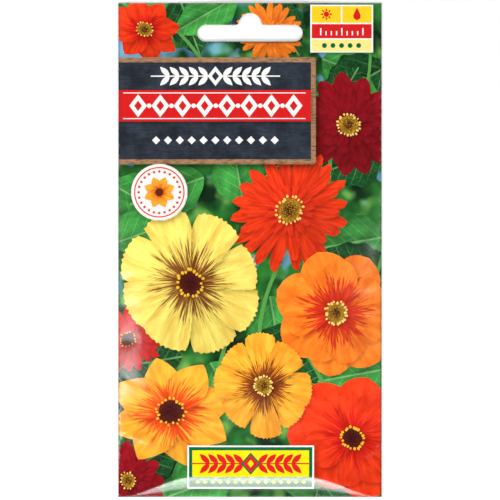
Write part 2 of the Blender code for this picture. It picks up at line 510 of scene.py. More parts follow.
# Ink colours
GREEN_LEAF = srgb(54, 136, 56)
GREEN_LIGHT = srgb(104, 178, 84)
GREEN_DEEP = srgb(18, 76, 34)
GREEN_VEIN = srgb(132, 198, 118)
YELLOW = srgb(255, 226, 104)
AMBER = srgb(255, 172, 48)
ORANGE = srgb(250, 128, 34)
SCARLET = srgb(240, 58, 20)
RED = srgb(214, 26, 20)
MAROON = srgb(140, 12, 24)
WINE = srgb(66, 6, 12)
BLOTCH = srgb(112, 18, 14)
WHITE = srgb(250, 250, 246)
SLATE = srgb(46, 52, 62)
TAN = srgb(182, 138, 102)
TAN_DEEP = srgb(112, 76, 52)
BAND_RED = srgb(222, 30, 32)
INFO_YELLOW = srgb(252, 214, 34)
INFO_PALE = srgb(255, 236, 140)
LABEL_GREEN = srgb(0, 104, 62)
LABEL_YELLOW = srgb(255, 228, 10)
POLLEN = srgb(250, 196, 50)
POLLEN_PALE = srgb(255, 224, 120)
POLLEN_DARK = srgb(92, 44, 12)
CREAM = srgb(250, 244, 226)
RULE_GREY = srgb(120, 116, 108)

# A flower's disc, its florets' gaps, and its stamens
DARK_EYE = (POLLEN_DARK, WINE, POLLEN)
GOLD_EYE = (POLLEN, POLLEN_DARK, POLLEN_PALE)

# Each kind of flower: its petals' outline, their number and width, each ring's reach, and the disc
FLOWER_KINDS = {
    "cosmos": ("toothed", 8, 1.22, (1.0,), 0.17),
    "zinnia": ("round", 13, 1.30, (1.0, 0.80, 0.60, 0.42), 0.19),
    "dahlia": ("pointed", 8, 1.25, (1.0,), 0.21),
    "anemone": ("round", 7, 1.45, (1.0, 0.82), 0.16),
    "gerbera": ("narrow", 20, 1.10, (1.0, 0.86, 0.40), 0.20),
}
PRINT_LIGHT = np.array([-0.5, 0.86])


def flower(shapes, kind, centre, radius, tint, deep, marks, eye, tilt, turn):
    """One blossom: rings of overlapping petals, and its eye."""
    form, petals, width, rings, disc = FLOWER_KINDS[kind]
    bend, centre = squashed(*tilt), np.array(centre, float)
    for ring, reach in enumerate(rings):
        count = petals - 2 * ring if petals > 9 else petals
        for number in RNG.permutation(count):
            degrees = turn + (number + 0.5 * (ring % 2)) * 360 / count + RNG.uniform(-4, 4)
            length = radius * reach * RNG.uniform(0.95, 1.03)
            half = width * math.pi * radius * reach * 0.72 / count * RNG.uniform(0.94, 1.06)
            outward = heading(degrees)
            base = centre + bend @ outward * radius * 0.05
            outline, local = placed(petal_profile(form, RNG), base, degrees, length, half, bend)
            light = 1 + 0.11 * (outward @ PRINT_LIGHT) + RNG.uniform(-0.07, 0.07) - 0.03 * ring
            shapes.add(outline, toned(tint, light), "petal", toned(deep, light), marks, local, 0.34, 1.1)
    flower_eye(shapes, centre, radius, radius * disc, marks, eye, bend, turn)


def flower_eye(shapes, centre, radius, disc_radius, marks, eye, bend, turn):
    """A flower's disc of florets, and the stamens round it."""
    outline = ellipse(centre, disc_radius, count=26, wobble=0.03, phase=turn) - centre
    local = np.c_[np.eye(2), -centre] / disc_radius
    shapes.add(outline @ bend.T + centre, eye[0], "disc", eye[1], marks, local, 0.55, 1.3)
    stamens = 22 if radius > 12 else 15
    for number in range(stamens):
        degrees = 360 * (number + RNG.uniform(-0.3, 0.3)) / stamens
        reach = disc_radius * RNG.uniform(0.95, 1.22)
        size = radius * RNG.uniform(0.020, 0.030)
        spot = ellipse(centre + bend @ heading(degrees) * reach, size, size * 0.8, 7, degrees)
        shapes.add(spot, eye[2], shadow=0.25, soft=0.5)


def leaf(shapes, base, degrees, length, half_width, tint, deep):
    outline, local = placed(leaf_profile(RNG), base, degrees, length, half_width)
    marks = (RNG.uniform(5.5, 7.5), RNG.uniform(0, 50), 0.0)
    shapes.add(outline, tint, "leaf", deep, marks, local, 0.45, 1.6)


def stem(shapes, start, end, bow, width):
    start, end = np.array(start, float), np.array(end, float)
    run = end - start
    across = np.array([-run[1], run[0]])
    across /= np.linalg.norm(across)
    share = np.linspace(0, 1, 9)[:, None]
    middle = start + run * share + across * bow * 4 * share * (1 - share)
    half = across * width / 2
    shapes.add(np.r_[middle + half, (middle - half)[::-1]], toned(GREEN_LIGHT, 0.8), shadow=0.35, soft=0.9)


def foliage(shapes):
    for x, y, degrees, length, half, light in (
        (-40, 76, -35, 25, 8.0, 1.05), (-22, 78, -70, 20, 7.0, 0.85), (-4, 77, -150, 22, 6.5, 1.1),
        (5, 76, -60, 20, 7.0, 0.9), (22, 58, -20, 22, 8.5, 1.0), (42, 56, -150, 24, 9.0, 0.85),
        (40, 44, 170, 22, 8.0, 1.15), (24, 40, 60, 18, 7.0, 0.8), (-42, 20, -30, 20, 7.5, 0.95),
        (-41, 2, 20, 22, 8.5, 1.1), (-38, -8, -10, 20, 8.0, 0.8), (41, 4, -170, 22, 9.0, 1.0),
        (42, -10, 160, 24, 9.0, 0.8), (6, -14, -80, 24, 9.0, 1.05), (12, -22, -110, 22, 8.0, 0.75),
        (-14, -10, -120, 22, 8.0, 0.9), (-12, -34, -60, 22, 8.5, 1.0), (12, -38, -20, 26, 9.0, 0.9),
        (-42, -36, 10, 22, 9.0, 0.8), (42, -36, 190, 22, 9.0, 1.05), (-20, -62, -60, 22, 9.0, 1.0),
        (22, -64, -100, 22, 9.0, 0.85), (-42, -70, 30, 24, 9.0, 0.8), (42, -72, 150, 24, 9.0, 0.9),
        (-6, -68, 200, 20, 8.0, 1.1), (8, -70, 20, 18, 8.0, 0.95), (2, 20, 40, 22, 8.0, 0.9),
        (-14, 22, 200, 24, 8.5, 1.0), (-2, 14, 100, 20, 8.0, 1.05), (40, 30, -160, 20, 8.0, 0.9),
    ):
        tint = toned(GREEN_LEAF if light > 0.9 else GREEN_DEEP, light * 1.1)
        leaf(shapes, (x, y), degrees, length, half, tint, toned(GREEN_VEIN, light))
    for stalk in (
        ((-34, 76), (-8, 46), 3, 1.0), ((30, 50), (24, 14), -2, 1.2), ((-36, 4), (-20, -30), 3, 1.1),
        ((8, -6), (4, -40), -3, 1.2), ((42, 7), (28, -30), 2, 1.1), ((-6, -2), (-16, -50), 4, 1.2),
        ((36.5, 62), (30, 36), 2, 0.9), ((16, -30), (28, -60), 2, 1.2), ((-30, -34), (-28, -60), -2, 1.1),
    ):
        stem(shapes, *stalk)


def blossoms(shapes):
    """The flowers, from the ones behind to the ones in front."""
    for blossom in (
        ("gerbera", (6, 66), 10.0, ORANGE, RED, (0.25, 0.5, 0.4), DARK_EYE, (60, 0.9), 0),
        ("dahlia", (-32, 67), 11.0, SCARLET, RED, (0.30, 0.5, 0.5), GOLD_EYE, (60, 0.86), 10),
        ("zinnia", (30, 38), 16.0, MAROON, WINE, (0.26, 0.6, 0.7), GOLD_EYE, (70, 0.93), 12),
        ("gerbera", (-37, -27), 11.5, RED, WINE, (0.22, 0.45, 0.5), DARK_EYE, (120, 0.85), 4),
        ("anemone", (31, -57), 19.5, SCARLET, RED, (0.34, 0.7, 0.6), DARK_EYE, (45, 0.9), 25),
        ("zinnia", (-37, -70), 12.0, toned(MAROON, 1.15), WINE, (0.26, 0.6, 0.7), GOLD_EYE, (20, 0.9), 5),
        ("dahlia", (-24, -49), 18.5, AMBER, SCARLET, (0.33, 0.55, 0.35), DARK_EYE, (100, 0.9), 15),
        ("gerbera", (12, 12), 18.5, SCARLET, RED, (0.30, 0.6, 0.6), GOLD_EYE, (150, 0.9), 7),
        ("anemone", (26, -19), 19.0, toned(ORANGE, 1.12), RED, (0.42, 1.0, 0.5), GOLD_EYE, (0, 0.95), 5),
        ("cosmos", (-18, -10), 21.0, YELLOW, BLOTCH, (0.30, 0.75, 0.2), DARK_EYE, (30, 0.94), 20),
        ("cosmos", (4, -41), 15.0, toned(AMBER, 1.04), BLOTCH, (0.34, 0.6, 0.4), GOLD_EYE, (20, 0.93), 0),
    ):
        flower(shapes, *blossom)


def laurels(shapes, middle, y, gap, pairs, pitch, length, tint):
    """A plain ornament on both sides of a middle: a stalk with pairs of leaves."""
    profile = leaf_profile(np.random.default_rng(1), 0.0)
    for towards in (-1, 1):
        x = middle + towards * gap
        for number in range(pairs):
            for side in (-1, 1):
                base = (x + towards * number * pitch, y + side * 0.1)
                degrees = 90 - towards * 90 + side * towards * 44
                shapes.add(placed(profile, base, degrees, length, length * 0.21)[0], tint)
        left, right = sorted((x, x + towards * (pairs * pitch + 0.7 * length)))
        shapes.add(box(left, y - 0.2, right, y + 0.2), tint)


def lozenges(shapes, x, y, *nested):
    """Lozenges, one in the other, each with its reach both ways and its colour."""
    for reach_x, reach_y, tint in nested:
        shapes.add([(x - reach_x, y), (x, y - reach_y), (x + reach_x, y), (x, y + reach_y)], tint)


def title_panel(shapes):
    """A level slate board in a wooden frame, with a red band across it and plain ornaments."""
    left, right, foot, top = -41.5, 18.5, 26.0, 58.5
    border = 1.5
    shapes.add(box(left, foot, right + border, top, 0.8), TAN, "wood", TAN_DEEP, shadow=0.75, soft=2.2)
    shapes.add(box(left, foot + border, right, top - border), SLATE, "slate")
    band_foot, band_top = 39.0, 48.6
    shapes.add(box(left, band_foot, right, band_top), BAND_RED, shadow=0.5, soft=1.0)
    for y in (band_foot + 0.9, band_top - 0.9):
        shapes.add(box(left + 3, y - 0.14, right - 1.6, y + 0.14), WHITE)
    band_y, pitch = (band_foot + band_top) / 2, 6.75
    for number in range(8):
        x = -34.0 + number * pitch
        lozenges(shapes, x, band_y, (2.7, 3.5, WHITE), (1.2, 1.6, BAND_RED))
        if number < 7:
            shapes.add(ellipse((x + pitch / 2, band_y), 0.7, count=14), WHITE)
    title_x, title_y = -10.5, 52.8
    lozenges(shapes, title_x, title_y, (2.4, 3.0, WHITE), (1.1, 1.4, SLATE))
    laurels(shapes, title_x, title_y, 2.4, 5, 2.9, 3.9, WHITE)
    for number in range(11):
        lozenges(shapes, -28.5 + 3.6 * number, 33.3, (1.25, 1.25, WHITE))


def info_block(shapes):
    """A yellow block at the top right: plain sun, drop and ruler signs."""
    left, right, foot, top = 18.3, 37.4, 59.9, 74.5
    edge = 0.45
    shapes.add(box(left, foot, right, top), WHITE, shadow=0.5)
    shapes.add(box(left + edge, 69.0, 27.6, top - edge), INFO_YELLOW)
    shapes.add(box(27.6 + edge, 69.0, right - edge, top - edge), INFO_YELLOW)
    shapes.add(box(left + edge, 64.3, right - edge, 68.6), BAND_RED)
    shapes.add(box(left + edge, foot + edge, right - edge, 63.9), INFO_PALE)
    sun, ray = (23.2, 71.6), np.array([(0.5, 0.16), (1.0, 0), (0.5, -0.16)])
    for number in range(8):
        shapes.add(placed(ray, sun, number * 45, 2.0, 2.2)[0], BAND_RED)
    shapes.add(ellipse(sun, 0.85, count=16), BAND_RED)
    drop = [(0, 2.1), (0.75, 0.7), (1.15, -0.3), (0.95, -1.2)]
    drop += [(0, -1.75), (-0.95, -1.2), (-1.15, -0.3), (-0.75, 0.7)]
    shapes.add(np.array(drop) + (32.5, 71.5), BAND_RED)
    for number in range(9):
        x, tall = 21.5 + number * 1.6, 2.2 if number % 4 == 0 else 1.3
        shapes.add(box(x - 0.2, 65.2, x + 0.2, 65.2 + tall), WHITE)
    for number in range(5):
        shapes.add(ellipse((22.6 + 2.6 * number, 62.1), 0.75, count=14), LABEL_GREEN)


def round_badge(shapes):
    centre = np.array((-27.5, 17.5))
    shapes.add(ellipse(centre, 8.6, count=56), WHITE, shadow=0.6, soft=1.6)
    shapes.add(ellipse(centre, 7.7, count=52), SCARLET)
    shapes.add(ellipse(centre, 7.3, count=52), WHITE)
    for number in range(24):
        spot = centre + 6.3 * heading(15 * number)
        shapes.add(ellipse(spot, 0.42, count=8), SCARLET)
    profile = petal_profile("pointed", np.random.default_rng(3))
    for number in range(8):
        outline, local = placed(profile, centre, 45 * number + 22, 4.9, 1.55)
        shapes.add(outline, AMBER, "petal", SCARLET, (0.3, 0.4, 0.2), local, 0.2, 0.6)
    shapes.add(ellipse(centre, 1.25, count=16), POLLEN_DARK)


def foot_label(shapes):
    """A green label at the foot with a yellow field, leaf ornaments and a row of lozenges."""
    left, right, foot, top = -19.0, 19.4, -72.4, -59.2
    shapes.add(box(left, foot, right, top), WHITE, shadow=0.6, soft=1.6)
    shapes.add(box(left + 0.5, foot + 0.5, right - 0.5, top - 0.5), LABEL_GREEN)
    shapes.add(box(left + 1.5, foot + 3.6, right - 1.5, top - 1.5), LABEL_YELLOW)
    x, y = (left + right) / 2, (foot + 3.6 + top - 1.5) / 2
    laurels(shapes, x, y, 2.3, 5, 2.55, 4.1, BAND_RED)
    lozenges(shapes, x, y, (3.0, 3.4, LABEL_GREEN), (2.3, 2.65, BAND_RED), (1.0, 1.2, LABEL_YELLOW))
    for number in range(15):
        lozenges(shapes, x + 2.3 * (number - 7), foot + 2.05, (0.72, 0.62, LABEL_YELLOW))


def front_print():
    """Everything printed on the front, in the order that it is painted."""
    shapes = Print()
    shapes.add(box(-EDGE - 0.1, -HEAD - 0.5, EDGE + 0.1, HEAD + 0.5), GREEN_DEEP, "backdrop")
    for part in (foliage, blossoms, title_panel, info_block, round_badge, foot_label):
        part(shapes)
    return shapes


def rules(shapes, start, end, top, count):
    """Plain thin rules in place of text, the last one shorter."""
    for number in range(count):
        y = top - 3.0 * number
        stop = end - (9.0 if number == count - 1 else 0.0)
        shapes.add(box(start, y - 0.35, stop, y + 0.35), RULE_GREY)


def back_half(shapes, side):
    """One half of the back's print: a header, rules, six months of a calendar and a blank field."""

    def between(near, far):
        return sorted((u_behind(side * near, side), u_behind(side * far, side)))

    start, end = between(-8.6, EDGE + 0.2)
    shapes.add(box(start, -HEAD - 0.5, end, HEAD + 0.5), CREAM)
    start, end = between(0.8, EDGE - 0.2)
    shapes.add(box(start, 30.0, end, 56.0), SCARLET)
    shapes.add(box(start, 28.4, end, 29.4), LABEL_GREEN)
    start, end = between(11.5 if side > 0 else 5.0, 35.0)
    middle, header_y = (start + end) / 2, 43.0
    lozenges(shapes, middle, header_y, (2.6, 3.4, WHITE), (1.2, 1.6, SCARLET))
    laurels(shapes, middle, header_y, 2.6, 2, 2.9, 3.9, WHITE)
    rules(shapes, start, end, 22.0, 9)
    rules(shapes, start, end, -26.0, 7)
    month, line = (end - start) / 6, 0.3
    for number in range(6):
        x = start + number * month
        fill = (GREEN_LIGHT, AMBER, CREAM)[(number // 2 + (side > 0)) % 3]
        shapes.add(box(x, -20.0, x + month + line, -12.0), LABEL_GREEN)
        shapes.add(box(x + line, -20.0 + line, x + month, -12.0 - line), fill)
    shapes.add(box(start, -62.0, end, -50.0), LABEL_GREEN)
    shapes.add(box(start + 0.5, -61.5, end - 0.5, -50.5), WHITE)


def back_print():
    shapes = Print()
    for side in (-1, 1):
        back_half(shapes, side)
    return shapes


# Shade: the print's own shadows, and painted shade at the side folds and the slot


def blurred(values, reach):
    """Two box blurs in each direction. The grid is turned after each one, and ends as it was."""
    window = 2 * reach + 1
    for _ in range(4):
        total = np.cumsum(np.pad(values, ((reach + 1, reach), (0, 0))), axis=0)
        values = ((total[window:] - total[:-window]) / window).T
    return values


def shadow_map(shapes, cell=0.25):
    """How dark each small cell of the front is from the shapes that lie over it."""
    x, y = (cell * (np.arange(int(size / cell) + 8) - 3.5) - size / 2 for size in (WIDTH, HEIGHT))
    dark = np.zeros((len(x), len(y)))
    for shape in shapes:
        margin = 3 * shape.soft + 1
        i0, i1 = np.searchsorted(x, (shape.low[0] - margin, shape.high[0] + margin))
        j0, j1 = np.searchsorted(y, (shape.low[1] - margin, shape.high[1] + margin))
        part = dark[i0:i1, j0:j1]
        grid = np.stack(np.meshgrid(x[i0:i1], y[j0:j1], indexing="ij"), axis=-1).reshape(-1, 2)
        mask = shape.holds(grid).reshape(part.shape)
        if shape.shadow and part.size:
            cast = blurred(mask.astype(float), max(1, int(shape.soft / cell / 1.6)))
            shift = int(round(0.35 * shape.soft / cell))
            cast = np.roll(cast, (shift, -shift), axis=(0, 1))
            part[:] = np.maximum(part, cast * shape.shadow * 1.5)
        part[mask] = 0.0
    return x, y, np.clip(dark, 0, 0.85)


def shade_at(points, field):
    """Reads the shadow map between its cells."""
    x, y, dark = field
    cell = x[1] - x[0]
    i = np.clip((points[:, 0] - x[0]) / cell, 0, len(x) - 1.001)
    j = np.clip((points[:, 1] - y[0]) / cell, 0, len(y) - 1.001)
    a, b = i.astype(int), j.astype(int)
    p, q = i - a, j - b
    low = dark[a, b] * (1 - p) + dark[a + 1, b] * p
    high = dark[a, b + 1] * (1 - p) + dark[a + 1, b + 1] * p
    return low * (1 - q) + high * q


def painted_edge_shade(points):
    """Painted shade that darkens the ink where the film turns over at the side folds, and at the slot's
    lower edge.
    """
    # painted shade where the side folds turn away from the light
    dark = 0.42 * np.exp(-((np.clip(EDGE - np.abs(points[:, 0]), 0, None) / 0.3) ** 2))
    x = np.r_[np.linspace(-13.0, SLOT_END - 1.2, 80), slot_samples(SLOT_END - 1.2, SLOT_END)]
    edge = np.c_[x, slot_bottom(x)]
    near = (np.abs(points[:, 0]) < SLOT_END + 1) & (np.abs(points[:, 1] - SLOT_FOOT - 0.8) < 2.2)
    away = np.linalg.norm(points[near, None] - edge, axis=2).min(axis=1)
    # painted shadow along the slot's lower edge
    dark[near] = np.maximum(dark[near], 0.92 * np.exp(-((away / 0.5) ** 2)))
    return dark


# Materials


def sign(operation):
    """What a sign between wires or numbers does: it makes a math node."""
    return lambda first, second=0.0: first.nodes.math(operation, first, second)


class Wire(NamedTuple):
    """What comes out of a shader node."""

    nodes: object
    socket: object
    __add__ = sign("ADD")
    __sub__ = sign("SUBTRACT")
    __mul__ = sign("MULTIPLY")
    __truediv__ = sign("DIVIDE")
    __abs__ = sign("ABSOLUTE")

    def __rsub__(self, other):
        return self.nodes.math("SUBTRACT", other, self)


class Nodes:
    """The shader nodes of a material or a world, with short names."""

    def __init__(self, owner, shader="Principled BSDF"):
        owner.use_nodes = True
        self.owner = owner
        self.tree = owner.node_tree
        self.shader = self.tree.nodes[shader]

    def put(self, socket, value):
        if isinstance(value, Wire):
            self.tree.links.new(value.socket, socket)
        else:
            socket.default_value = value

    def finish(self, inputs):
        """Sets the shader's inputs, and gives the finished material or world."""
        for name, value in inputs.items():
            self.put(self.shader.inputs[name], value)
        return self.owner

    def node(self, kind, inputs, output=0, **settings):
        """The wire out of a new node with these settings and inputs."""
        node = self.tree.nodes.new("ShaderNode" + kind)
        for name, value in settings.items():
            setattr(node, name, value)
        for name, value in inputs.items():
            self.put(node.inputs[name], value)
        return Wire(self, node.outputs[output])

    def math(self, operation, a, b=0.0):
        return self.node("Math", {0: a, 1: b}, operation=operation)

    def step(self, value, start, end, low=0.0, high=1.0, form="SMOOTHSTEP"):
        inputs = {"Value": value, "From Min": start, "From Max": end, "To Min": low, "To Max": high}
        return self.node("MapRange", inputs, interpolation_type=form)

    def mix(self, share, a, b, blend="MIX"):
        return self.node("Mix", {0: share, 6: a, 7: b}, 2, data_type="RGBA", blend_type=blend)

    def attribute(self, name, output="Vector"):
        return self.node("Attribute", {}, output, attribute_name=name)

    def parts(self, vector):
        """The three parts of a vector, or of the attribute with this name."""
        if isinstance(vector, str):
            vector = self.attribute(vector)
        outputs = self.node("SeparateXYZ", {0: vector}).socket.node.outputs
        return [Wire(self, socket) for socket in outputs]

    def vector(self, x, y, z=0.0):
        return self.node("CombineXYZ", {0: x, 1: y, 2: z})

    def noise(self, vector, scale, detail=2.0, roughness=0.5):
        inputs = {"Vector": vector, "Scale": scale, "Detail": detail, "Roughness": roughness}
        return self.node("TexNoise", inputs, "Fac")

    def cells(self, vector, scale, feature="F1"):
        return self.node("TexVoronoi", {"Vector": vector, "Scale": scale}, "Distance", feature=feature)

    def bump(self, height, distance, strength):
        return self.node("Bump", {"Height": height, "Distance": distance, "Strength": strength})

    def coords(self, kind="Object"):
        return self.node("TexCoord", {}, kind)

    def bright(self, colour, factor):
        return self.node("VectorMath", {0: colour, "Scale": factor}, operation="SCALE")

    def warm(self, colour, light):
        """A petal's colour under less or more light. Its shade turns red."""
        dark = 1.0 - light
        return self.mix(1.0, colour, self.vector(1.0 - dark * 0.55, light, 1.0 - dark * 1.5), "MULTIPLY")


class Ink(Nodes):
    """One printed ink, and the glossy laminate over it."""

    def __init__(self, name):
        super().__init__(bpy.data.materials.new(name))
        self.tint = self.attribute("tint", "Color")
        self.deep = self.attribute("deep", "Color")

    def printed(self, colour):
        """The finished ink, with its shadows, under a clear coat with fine ripples."""
        place = self.coords()
        shaded = self.bright(colour, 1.0 - self.attribute("shade", "Fac"))
        grain = self.step(self.noise(place, 2600.0, 1.0), 0.3, 0.7, 0.96, 1.04)
        return self.finish({
            "Base Color": self.bright(shaded, grain),
            "Normal": self.bump(self.noise(place, 160.0, 3.0, 0.45), 0.00010, 0.45),
            "Roughness": self.step(self.noise(place, 420.0, 2.0), 0.3, 0.7, 0.16, 0.24),
            "IOR": 1.5,
            "Specular IOR Level": 0.4,
            "Coat Weight": 0.45,
            "Coat Roughness": 0.12,
        })


def petal_ink():
    """Petals: a dark blotch at the base, streaks that fan out, soft folds and a darker rim."""
    ink = Ink("ink_petal")
    along, across, key = ink.parts("local")
    reach, streaks, folds = ink.parts("marks")
    fan = across / (along + 0.22)
    streak = ink.noise(ink.vector(fan * 3.1, along, key), 2.6, 3.0, 0.6)
    fine = ink.noise(ink.vector(fan * 9.0, along * 0.9, key), 3.4, 2.0)
    edge = reach + ink.step(streak, 0.30, 0.72, -0.16, 0.30)
    blotch = ink.step(along - edge, -0.12, 0.12, 1.0, 0.0)
    vein = ink.step(fine, 0.52, 0.66) * ink.step(along, 0.25, 0.95, 0.85, 0.12) * streaks
    colour = ink.mix(vein * 0.75, ink.tint, ink.deep)
    colour = ink.mix(blotch * 0.9, colour, ink.deep)
    soft = ink.noise(ink.vector(fan * 1.2, along, key), 2.2, 2.0)
    fold = ink.step(soft, 0.28, 0.72, -0.42, 0.30) * (folds + 0.35)
    rim = ink.math("POWER", abs(across), 3.0) * -0.16
    middle = ink.step(abs(across), 0.0, 0.10, -0.13, 0.0)
    throat = ink.step(along, 0.0, 0.45, -0.34, 0.04)
    return ink.printed(ink.warm(colour, fold + rim + (middle + throat + 1.06)))


def leaf_ink():
    """Leaves: a pale midrib with side veins, one half darker than the other, and mottled."""
    ink = Ink("ink_leaf")
    along, across, key = ink.parts("local")
    count, _, _ = ink.parts("marks")
    side = abs(across)
    beat = abs(ink.math("FRACT", (along - side * 0.34) * count) - 0.5)
    rib = ink.step(side, 0.01, 0.05, 0.9, 0.0)
    vein = ink.step(beat, 0.0, 0.06, 0.50, 0.0) * ink.step(side, 0.4, 1.0, 1.0, 0.1)
    net = ink.cells(ink.vector(along * 2.0, across, key), 6.0, "DISTANCE_TO_EDGE")
    lines = ink.math("MAXIMUM", vein, ink.step(net, 0.0, 0.06, 0.14, 0.0))
    colour = ink.mix(ink.math("MAXIMUM", rib, lines), ink.tint, ink.deep)
    mottle = ink.step(ink.noise(ink.vector(along, across, key), 3.2, 3.0), 0.28, 0.74, 0.72, 1.30)
    bow = ink.step(abs(side - 0.45), 0.0, 0.55, 0.12, -0.22)
    half = ink.step(across, -0.10, 0.10, -0.16, 0.16)
    return ink.printed(ink.bright(colour, mottle + (half + bow)))


def disc_ink():
    """A flower's disc: tight florets, darker in the middle."""
    ink = Ink("ink_disc")
    x, y, key = ink.parts("local")
    floret = ink.cells(ink.vector(x, y, key), 7.5)
    radius = ink.math("SQRT", x * x + y * y)
    share = ink.step(floret, 0.08, 0.42) * ink.step(radius, 0.2, 1.0, 1.0, 0.72)
    colour = ink.mix(share, ink.tint, ink.deep)
    return ink.printed(ink.bright(colour, ink.step(radius, 0.0, 0.9, 0.8, 1.15)))


def backdrop_ink():
    """The garden out of focus behind the flowers: soft greens, and some pale sky."""
    ink = Ink("ink_backdrop")
    plan = ink.attribute("plan")
    x, y, _ = ink.parts(plan)
    large, small = ink.noise(plan, 0.085, 2.0), ink.noise(plan, 0.16, 1.0)
    colour = ink.mix(ink.step(large, 0.36, 0.62), srgb(8, 44, 20), srgb(46, 126, 48))
    colour = ink.mix(ink.step(small, 0.50, 0.78, 0.0, 0.8), colour, srgb(128, 196, 92))
    colour = ink.mix(ink.step(y + small * 60.0 - x, 96.0, 124.0), colour, srgb(120, 188, 226))
    gap = ink.step(ink.noise(plan, 0.12, 1.0), 0.60, 0.68) * ink.step(y, -30.0, 10.0)
    return ink.printed(ink.mix(gap * 0.8, colour, srgb(120, 180, 214)))


def flat_ink():
    """Plain printed areas, with the faint unevenness of offset ink."""
    ink = Ink("ink_flat")
    cloud = ink.noise(ink.attribute("plan"), 0.4, 3.0)
    return ink.printed(ink.bright(ink.tint, ink.step(cloud, 0.3, 0.7, 0.97, 1.03)))


def slate_ink():
    """A slate board: dusty, with faint scratches along it."""
    ink = Ink("ink_slate")
    plan = ink.attribute("plan")
    x, y, _ = ink.parts(plan)
    dust = ink.noise(plan, 0.16, 5.0, 0.65)
    scratch = ink.noise(ink.vector(x * 0.12, y * 2.4), 1.2, 3.0)
    light = ink.step(dust, 0.3, 0.75, 0.55, 1.55) * ink.step(scratch, 0.3, 0.75, 0.85, 1.3)
    return ink.printed(ink.bright(ink.tint, light))


def wood_ink():
    """A thin wooden frame, with grain lines along it."""
    ink = Ink("ink_wood")
    x, y, _ = ink.parts("plan")
    grain = ink.noise(ink.vector(x * 0.25, y * 1.6), 1.5, 5.0, 0.65)
    return ink.printed(ink.mix(ink.step(grain, 0.40, 0.70), ink.tint, ink.deep))


def inside_film():
    """The unprinted inner skin and the cut edges: white, satin, with faint fibres."""
    nodes = Nodes(bpy.data.materials.new("film_inside"))
    fibre = nodes.noise(nodes.coords(), 900.0, 4.0, 0.6)
    colour = nodes.mix(nodes.step(fibre, 0.3, 0.7), srgb(236, 236, 232), srgb(250, 250, 248))
    fibres = nodes.bump(fibre, 0.00002, 0.4)
    return nodes.finish({"Base Color": colour, "Normal": fibres, "Roughness": 0.45})


def husk_material():
    """Dry cork-like seed coats: tan ridges over darker furrows, dusty and rough."""
    nodes = Nodes(bpy.data.materials.new("seed_husk_cork"))
    place = nodes.coords()
    large, small = nodes.noise(place, 420.0, 4.0, 0.6), nodes.noise(place, 1900.0, 5.0, 0.65)
    colour = nodes.mix(nodes.step(large, 0.3, 0.7), srgb(150, 122, 84), srgb(188, 162, 118))
    colour = nodes.mix(nodes.step(small, 0.42, 0.66), colour, srgb(122, 92, 58))
    colour = nodes.mix(nodes.attribute("furrow", "Fac") * 0.8, colour, srgb(84, 58, 34))
    grit = nodes.bump(small + nodes.cells(place, 1500.0) * 0.6, 0.00022, 0.7)
    return nodes.finish({"Base Color": colour, "Normal": grit, "Roughness": 0.86})


INKS = {
    "petal": petal_ink, "leaf": leaf_ink, "disc": disc_ink, "backdrop": backdrop_ink,
    "flat": flat_ink, "slate": slate_ink, "wood": wood_ink, "inside": inside_film,
}


# Building the pieces


def film_skins(shapes):
    """The film's two skins on the flat web, and the walls between them at the cut edges."""
    border = box(U_START, -HEAD, U_END, HEAD)
    lines = [(border, True)] + slot_outlines() + visible_outlines(shapes)
    outer, faces = triangulated(grid_points(FRONT_PITCH, BACK_PITCH), lines, 2e-3)
    rim = rim_edges(faces)
    coarse = grid_points(INSIDE_PITCH, INSIDE_BACK_PITCH)
    u, y = coarse.T
    coarse = coarse[(np.abs(y) < HEAD - 1) & (u > U_START + 0.5) & (u < U_END - 0.5)]
    inner, inner_faces = triangulated(coarse, [(outer[edge], False) for edge in rim], 1e-5)
    place = {tuple(point): len(outer) + i for i, point in enumerate(np.round(inner, 4))}
    walls = []
    for a, b in rim:
        c, d = (place[tuple(point)] for point in np.round(outer[[a, b]], 4))
        walls += [(b, a, c), (b, c, d)]
    return outer, faces, inner, inner_faces, walls


def set_corners(mesh, name, values):
    """Keeps a number, a vector or a colour for each corner of each face, where the inks read them."""
    kinds = {1: ("FLOAT", "value"), 3: ("FLOAT_VECTOR", "vector"), 4: ("FLOAT_COLOR", "color")}
    kind, field = kinds[values.shape[-1]]
    layer = mesh.attributes.new(name, kind, "CORNER")
    layer.data.foreach_set(field, np.ascontiguousarray(values, np.float32).ravel())


def set_print(mesh, corners, shapes, picked, shadows):
    """What the inks read: each corner's place in its shape and on the web, colours, and shade."""
    centre = corners.mean(axis=1, keepdims=True)
    flat = corners.reshape(-1, 2)
    dark = shade_at((corners * 0.85 + centre * 0.15).reshape(-1, 2), shadows)
    # painted shade at the side folds and the slot's lower edge, added to the print's own shadows
    dark = np.maximum(dark, painted_edge_shade(flat))
    dark[np.abs(flat[:, 0]) > FOLD_END] = 0.0
    set_corners(mesh, "shade", dark[:, None])
    ones = np.ones((*corners.shape[:2], 1))
    local = np.array([shape.local for shape in shapes])[picked]
    place = np.einsum("fij,fkj->fki", local, np.concatenate([corners, ones], axis=2))
    key = ones * (picked * 1.37)[:, None, None]
    set_corners(mesh, "local", np.concatenate([place, key], axis=2))
    set_corners(mesh, "plan", np.concatenate([corners, 0 * ones], axis=2))
    for name in ("marks", "tint", "deep"):
        values = np.array([getattr(shape, name) for shape in shapes])[picked]
        set_corners(mesh, name, np.repeat(values[:, None], 3, axis=1))


